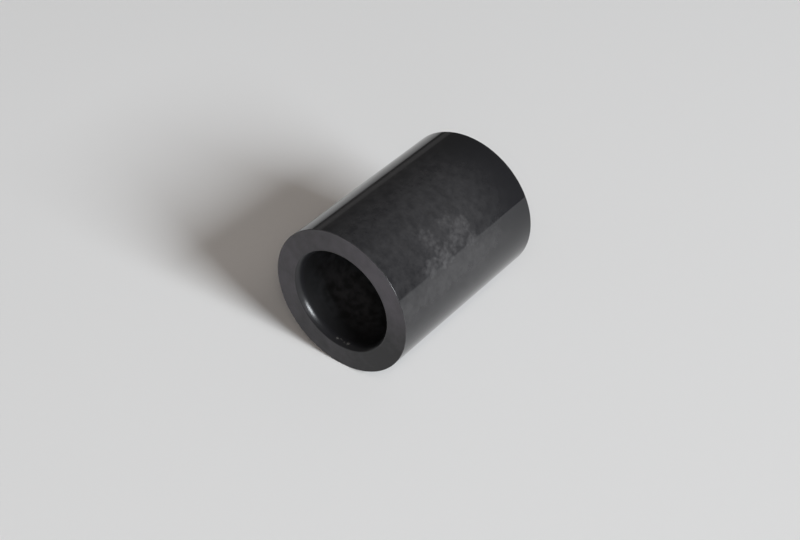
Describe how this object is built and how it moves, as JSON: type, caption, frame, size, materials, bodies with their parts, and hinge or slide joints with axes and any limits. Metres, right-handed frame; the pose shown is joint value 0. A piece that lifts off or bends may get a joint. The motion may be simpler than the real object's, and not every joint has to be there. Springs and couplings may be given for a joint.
{
  "type": "bushing",
  "caption": "Plain cylindrical sleeve bushing in black plastic, with a bore right through and a small chamfer at each mouth, that lines a hole so that a pin or shaft can turn in it.",
  "frame": {"origin": "centre of the lower end face, on the bore's axis", "axes": "+Z along the bore, from the lower end face to the upper one; X and Y are equal, because the part is round"},
  "size_m": [0.015, 0.015, 0.02],
  "materials": {
    "black_acetal": "smooth glossy outside with a hazy rubbed patch, satin end faces, dark smooth bore"
  },
  "bodies": {
    "root": {"bushing": "black_acetal"}
  },
  "joints": []
}
